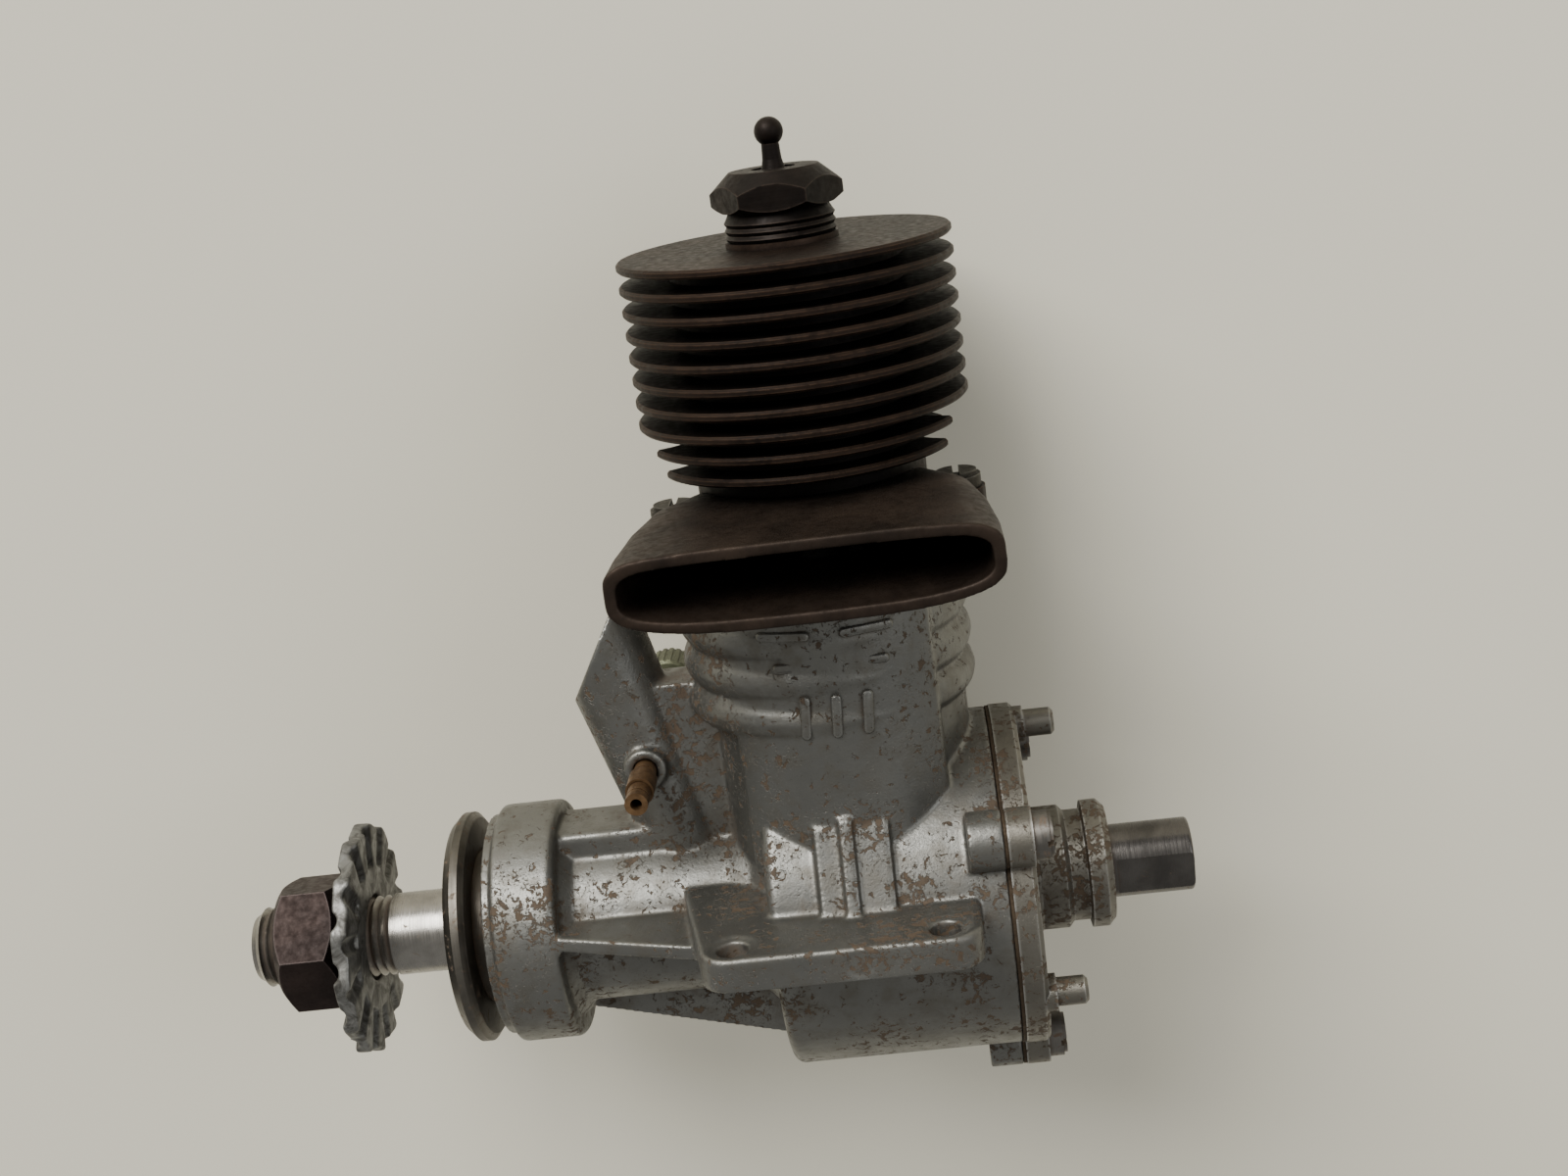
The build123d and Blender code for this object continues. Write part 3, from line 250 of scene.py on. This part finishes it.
def bright_steel(name, base, roughness, rust=0.3, axis="X", lathe=5.0, metallic=1.0):
    """Ground or turned steel with fine rings round its axis, light rust freckles, and dark brown soiling and
    painted shade in its corners.
    """
    s = Shader(name, metallic=metallic)
    along = {"Z": (0.03, 0.03, lathe), "X": (lathe, 0.03, 0.03), "Y": (0.03, lathe, 0.03)}[axis]
    rings = s.noise(1.0, 4, 0.6, 0.0, along)
    cloud = s.noise(0.25, 5, 0.6, 0.3)
    fine = s.noise(2.2, 4, 0.6)
    colour = s.mix(s.levels(cloud, 0.3, 0.75), base, [part * 0.6 for part in base])
    freckle = s.levels(s.noise(0.9, 5, 0.65, 0.5), 0.66 - 0.22 * rust, 0.76 - 0.16 * rust)
    corner = s.shade_in_corners(1.6, 0.3, 0.85)
    brown = s.mix(fine, (0.055, 0.036, 0.022), (0.16, 0.10, 0.055))
    # rust freckles, plus painted shade in corners and gaps from ambient occlusion, both mixed to brown
    grime_and_shade = s.math("MAXIMUM", s.math("MULTIPLY", freckle, 0.85), s.math("MULTIPLY", corner, 0.8))
    colour = s.mix(grime_and_shade, colour, brown)
    turned = s.levels(rings, 0.3, 0.7, roughness * 0.8, roughness * 1.25)
    rough = s.math("ADD", turned, s.math("MULTIPLY", grime_and_shade, 0.35))
    metal = s.levels(grime_and_shade, 0.1, 0.9, metallic, 0.2)
    normal = s.bump(rings, 0.03, 0.3)
    normal = s.bump(fine, 0.03, 0.25, normal)
    return s.finish(colour, rough, normal, metal)


def dull_brass(name, dark, light, roughness=0.45):
    """Tarnished brass or plated brass."""
    s = Shader(name, metallic=0.7)
    cloud = s.noise(0.5, 5, 0.6, 0.4)
    fine = s.noise(3.0, 4, 0.6)
    colour = s.mix(s.levels(cloud, 0.3, 0.7), dark, light)
    # painted shade: corners and gaps darken to a third of the dark brass tone by ambient occlusion
    grime_and_shade = s.math("MULTIPLY", s.shade_in_corners(1.0, 0.3, 0.85), 0.8)
    colour = s.mix(grime_and_shade, colour, [part * 0.3 for part in dark])
    rough = s.levels(fine, 0.3, 0.7, roughness * 0.85, roughness * 1.25)
    return s.finish(colour, rough, s.bump(fine, 0.03, 0.4))


def mottled_zinc(name):
    """Plated pressed steel gone grey and blotchy."""
    s = Shader(name, metallic=0.7)
    blotch = s.noise(0.45, 6, 0.7, 0.8)
    fine = s.noise(2.5, 4, 0.6)
    colour = s.mix(s.levels(blotch, 0.36, 0.62), (0.062, 0.059, 0.053), (0.20, 0.20, 0.19))
    worn = s.math("MULTIPLY", s.edge(0.4), s.levels(fine, 0.35, 0.6))
    colour = s.mix(s.math("MULTIPLY", worn, 0.6), colour, (0.36, 0.36, 0.34))
    # painted shade with soiling: corners and gaps darken to dark brown by ambient occlusion
    grime_and_shade = s.math("MULTIPLY", s.shade_in_corners(2.0, 0.3, 0.85), 0.75)
    colour = s.mix(grime_and_shade, colour, (0.05, 0.038, 0.028))
    rough = s.levels(blotch, 0.3, 0.7, 0.55, 0.38)
    normal = s.bump(blotch, 0.10, 0.4)
    normal = s.bump(fine, 0.04, 0.4, normal)
    return s.finish(colour, rough, normal)


def table_paper():
    """Plain pale table. Its back is clear, so that the part can be seen from behind it."""
    s = Shader("table", roughness=0.75)
    s.put(s.surface.inputs["Base Color"], s.mix(s.noise(0.02, 2), (0.80, 0.765, 0.640), (0.82, 0.785, 0.660)))
    geometry = s.nodes.new("ShaderNodeNewGeometry")
    clear = s.nodes.new("ShaderNodeBsdfTransparent")
    both = s.nodes.new("ShaderNodeMixShader")
    s.links.new(geometry.outputs["Backfacing"], both.inputs["Fac"])
    s.links.new(s.surface.outputs["BSDF"], both.inputs[1])
    s.links.new(clear.outputs["BSDF"], both.inputs[2])
    s.links.new(both.outputs["Shader"], s.nodes["Material Output"].inputs["Surface"])
    return s.material


def make_stage():
    """The pale table that the part lies against, tilted as the part's far side touches it."""
    normal = Vector((0, -cos(TABLE_TILT), -sin(TABLE_TILT)))
    across = Vector((1, 0, 0))
    up = across.cross(normal) * -1
    mesh = bpy.data.meshes.new("table")
    half = TABLE_SIZE / 2
    corners = [TABLE_TOUCH + across * a * half + up * b * half for a, b in ((-1, -1), (1, -1), (1, 1), (-1, 1))]
    mesh.from_pydata([tuple(corner) for corner in corners], [], [(0, 1, 2, 3)])
    mesh.update()
    if mesh.polygons[0].normal.dot(normal) < 0:
        mesh.flip_normals()
    table = bpy.data.objects.new("table", mesh)
    mesh.materials.append(table_paper())
    bpy.context.collection.objects.link(table)
    world = bpy.data.worlds.new("studio")
    world.use_nodes = True
    world.node_tree.nodes["Background"].inputs["Color"].default_value = (0.80, 0.79, 0.75, 1.0)
    world.node_tree.nodes["Background"].inputs["Strength"].default_value = 0.48
    bpy.context.scene.world = world
    make_light("key", (-0.85, -1.35, 1.7), (0, 0, 0.03), (1.3, 1.3), 78.0, (1.0, 0.98, 0.94))
    make_light("fill", (0.6, -0.6, 0.25), (0, 0, 0.03), (0.5, 0.5), 1.6, (0.96, 0.98, 1.0))
    make_light("back_left", (-0.5, 0.6, 0.5), (0, 0, 0.03), (0.5, 0.5), 5.0)
    make_light("back_right", (0.5, 0.6, 0.35), (0, 0, 0.03), (0.5, 0.5), 4.0)


MATERIALS = {
    "cast_aluminium": lambda: cast_metal("cast_aluminium"),
    "cover_aluminium": lambda: cast_metal(
        "cover_aluminium", corner_darkening_strength=0.95, base=(0.19, 0.18, 0.155), pits=0.53
    ),
    "burnt_steel": lambda: burnt_steel(
        "burnt_steel", (0.0070, 0.0044, 0.0032), (0.023, 0.0140, 0.0095), (0.105, 0.060, 0.036)
    ),
    "stack_steel": lambda: burnt_steel(
        "stack_steel", (0.014, 0.0095, 0.0070), (0.038, 0.026, 0.019), (0.10, 0.078, 0.060), 0.8
    ),
    "plug_steel": lambda: burnt_steel(
        "plug_steel", (0.0055, 0.0038, 0.0030), (0.016, 0.0105, 0.0080), (0.07, 0.05, 0.038)
    ),
    "nut_steel": lambda: burnt_steel(
        "nut_steel", (0.014, 0.0085, 0.0075), (0.034, 0.022, 0.019), (0.15, 0.12, 0.115), 2.0, "X"
    ),
    "dirty_screws": lambda: burnt_steel(
        "dirty_screws", (0.018, 0.015, 0.011), (0.062, 0.056, 0.043), (0.20, 0.19, 0.165)
    ),
    "screw_steel": lambda: bright_steel("screw_steel", (0.20, 0.19, 0.175), 0.40, 0.5),
    "shaft_steel": lambda: bright_steel("shaft_steel", (0.34, 0.325, 0.30), 0.28, 0.25),
    "rear_shaft_steel": lambda: bright_steel("rear_shaft_steel", (0.13, 0.122, 0.115), 0.26, 0.1),
    "disc_steel": lambda: bright_steel("disc_steel", (0.135, 0.125, 0.108), 0.42, 0.45),
    "ring_iron": lambda: bright_steel("ring_iron", (0.33, 0.32, 0.31), 0.4, 0.1, "Z"),
    "piston_metal": lambda: bright_steel("piston_metal", (0.50, 0.49, 0.46), 0.36, 0.1, "Z"),
    "rod_bronze": lambda: cast_metal("rod_bronze", corner_darkening_strength=0.2, pits=0.75),
    "washer_steel": lambda: mottled_zinc("washer_steel"),
    "brass": lambda: dull_brass("brass", (0.085, 0.047, 0.021), (0.18, 0.105, 0.050)),
    "knob_brass": lambda: dull_brass("knob_brass", (0.075, 0.080, 0.048), (0.14, 0.148, 0.094), 0.5),
    "bronze": lambda: dull_brass("bronze", (0.30, 0.19, 0.09), (0.45, 0.30, 0.15)),
    "copper": lambda: dull_brass("copper", (0.022, 0.013, 0.009), (0.045, 0.027, 0.018)),
    "gasket": lambda: dull_brass("gasket", (0.05, 0.035, 0.022), (0.09, 0.065, 0.042), 0.8),
    "plug_insulator": lambda: dull_brass("plug_insulator", (0.03, 0.025, 0.022), (0.06, 0.05, 0.045), 0.7),
}


def paint_nodes():
    """Every CAD node takes the procedural material of its slot."""
    for node, piece in frame["nodes"].items():
        for material_slot in piece.material_slots:
            material_slot.material = paint[SLOT_OF[node]]


# ---------------------------------------------------------------- pieces
def piece_from(name, mesh_builder, material, body):
    """A mesh piece in millimetres that moves with a body."""
    mesh = bpy.data.meshes.new(name)
    mesh_builder.normal_update()
    mesh_builder.to_mesh(mesh)
    mesh_builder.free()
    mesh.transform(Matrix.Scale(MM, 4))
    mesh.materials.append(material)
    piece = bpy.data.objects.new(name, mesh)
    bpy.context.collection.objects.link(piece)
    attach(piece, body)
    return piece


def soften_casting(node, voxel, rounds):
    """Cast corners: the sharp CAD edges melt into small fillets and the skin gets a slight roll."""
    piece = frame["nodes"][node]
    remesh = piece.modifiers.new("cast_skin", "REMESH")
    remesh.mode = "VOXEL"
    remesh.voxel_size = voxel * MM
    remesh.use_smooth_shade = True
    smooth = piece.modifiers.new("cast_fillets", "SMOOTH")
    smooth.factor = 0.5
    smooth.iterations = rounds


def rounded_bar(builder, centre, half_long, half_tall, rise, turn=0.0):
    """A raised bar on the curved front panel, with its ends and its top edge rounded."""
    steps = 24
    rings = []
    for grow, lift in ((1.0, -0.5), (1.0, 0.55 * rise), (0.86, 0.9 * rise), (0.6, rise)):
        ring = []
        for k in range(steps):
            angle = tau * k / steps
            reach = half_long - half_tall
            along = (reach if cos(angle) > 0 else -reach) + half_tall * grow * cos(angle)
            up = half_tall * grow * sin(angle)
            x = centre[0] + along * cos(turn) - up * sin(turn)
            z = centre[1] + along * sin(turn) + up * cos(turn)
            ring.append(builder.verts.new((x, -sqrt((PANEL_R + lift) ** 2 - x * x), z)))
        rings.append(ring)
    for low, high in zip(rings, rings[1:]):
        for k in range(steps):
            builder.faces.new((low[k], low[(k + 1) % steps], high[(k + 1) % steps], high[k]))
    builder.faces.new(rings[-1])
    builder.faces.new(list(reversed(rings[0])))


PANEL_R = 16.2
# (x, z, half length, half height, turn) of each raised bar, in millimetres and radians
RELIEF_BARS = (
    (-4.6, 36.6, 2.9, 0.55, 0.0),
    (4.4, 36.6, 2.9, 0.55, 0.0),
    (0.2, 33.0, 6.3, 0.55, 0.0),
    (-3.2, 27.4, 2.5, 0.60, 1.5),
    (0.2, 27.4, 2.5, 0.60, 1.5),
    (3.6, 27.4, 2.5, 0.60, 1.5),
)


def make_relief():
    """Plain raised bars on the front panel of the casting, without any lettering."""
    builder = bmesh.new()
    for x, z, half_long, half_tall, turn in RELIEF_BARS:
        rounded_bar(builder, (x, z), half_long, half_tall, 0.5, turn)
    for face in builder.faces:
        face.smooth = True
    piece_from("panel_relief", builder, paint["cast_aluminium"], "engine")


make_camera()
make_stage()
paint = {slot: make() for slot, make in MATERIALS.items()}
paint_nodes()
make_relief()
soften_casting("crankcase", 0.28, 2)
soften_casting("prop_washer", 0.18, 14)
soften_casting("exhaust_stack", 0.20, 9)
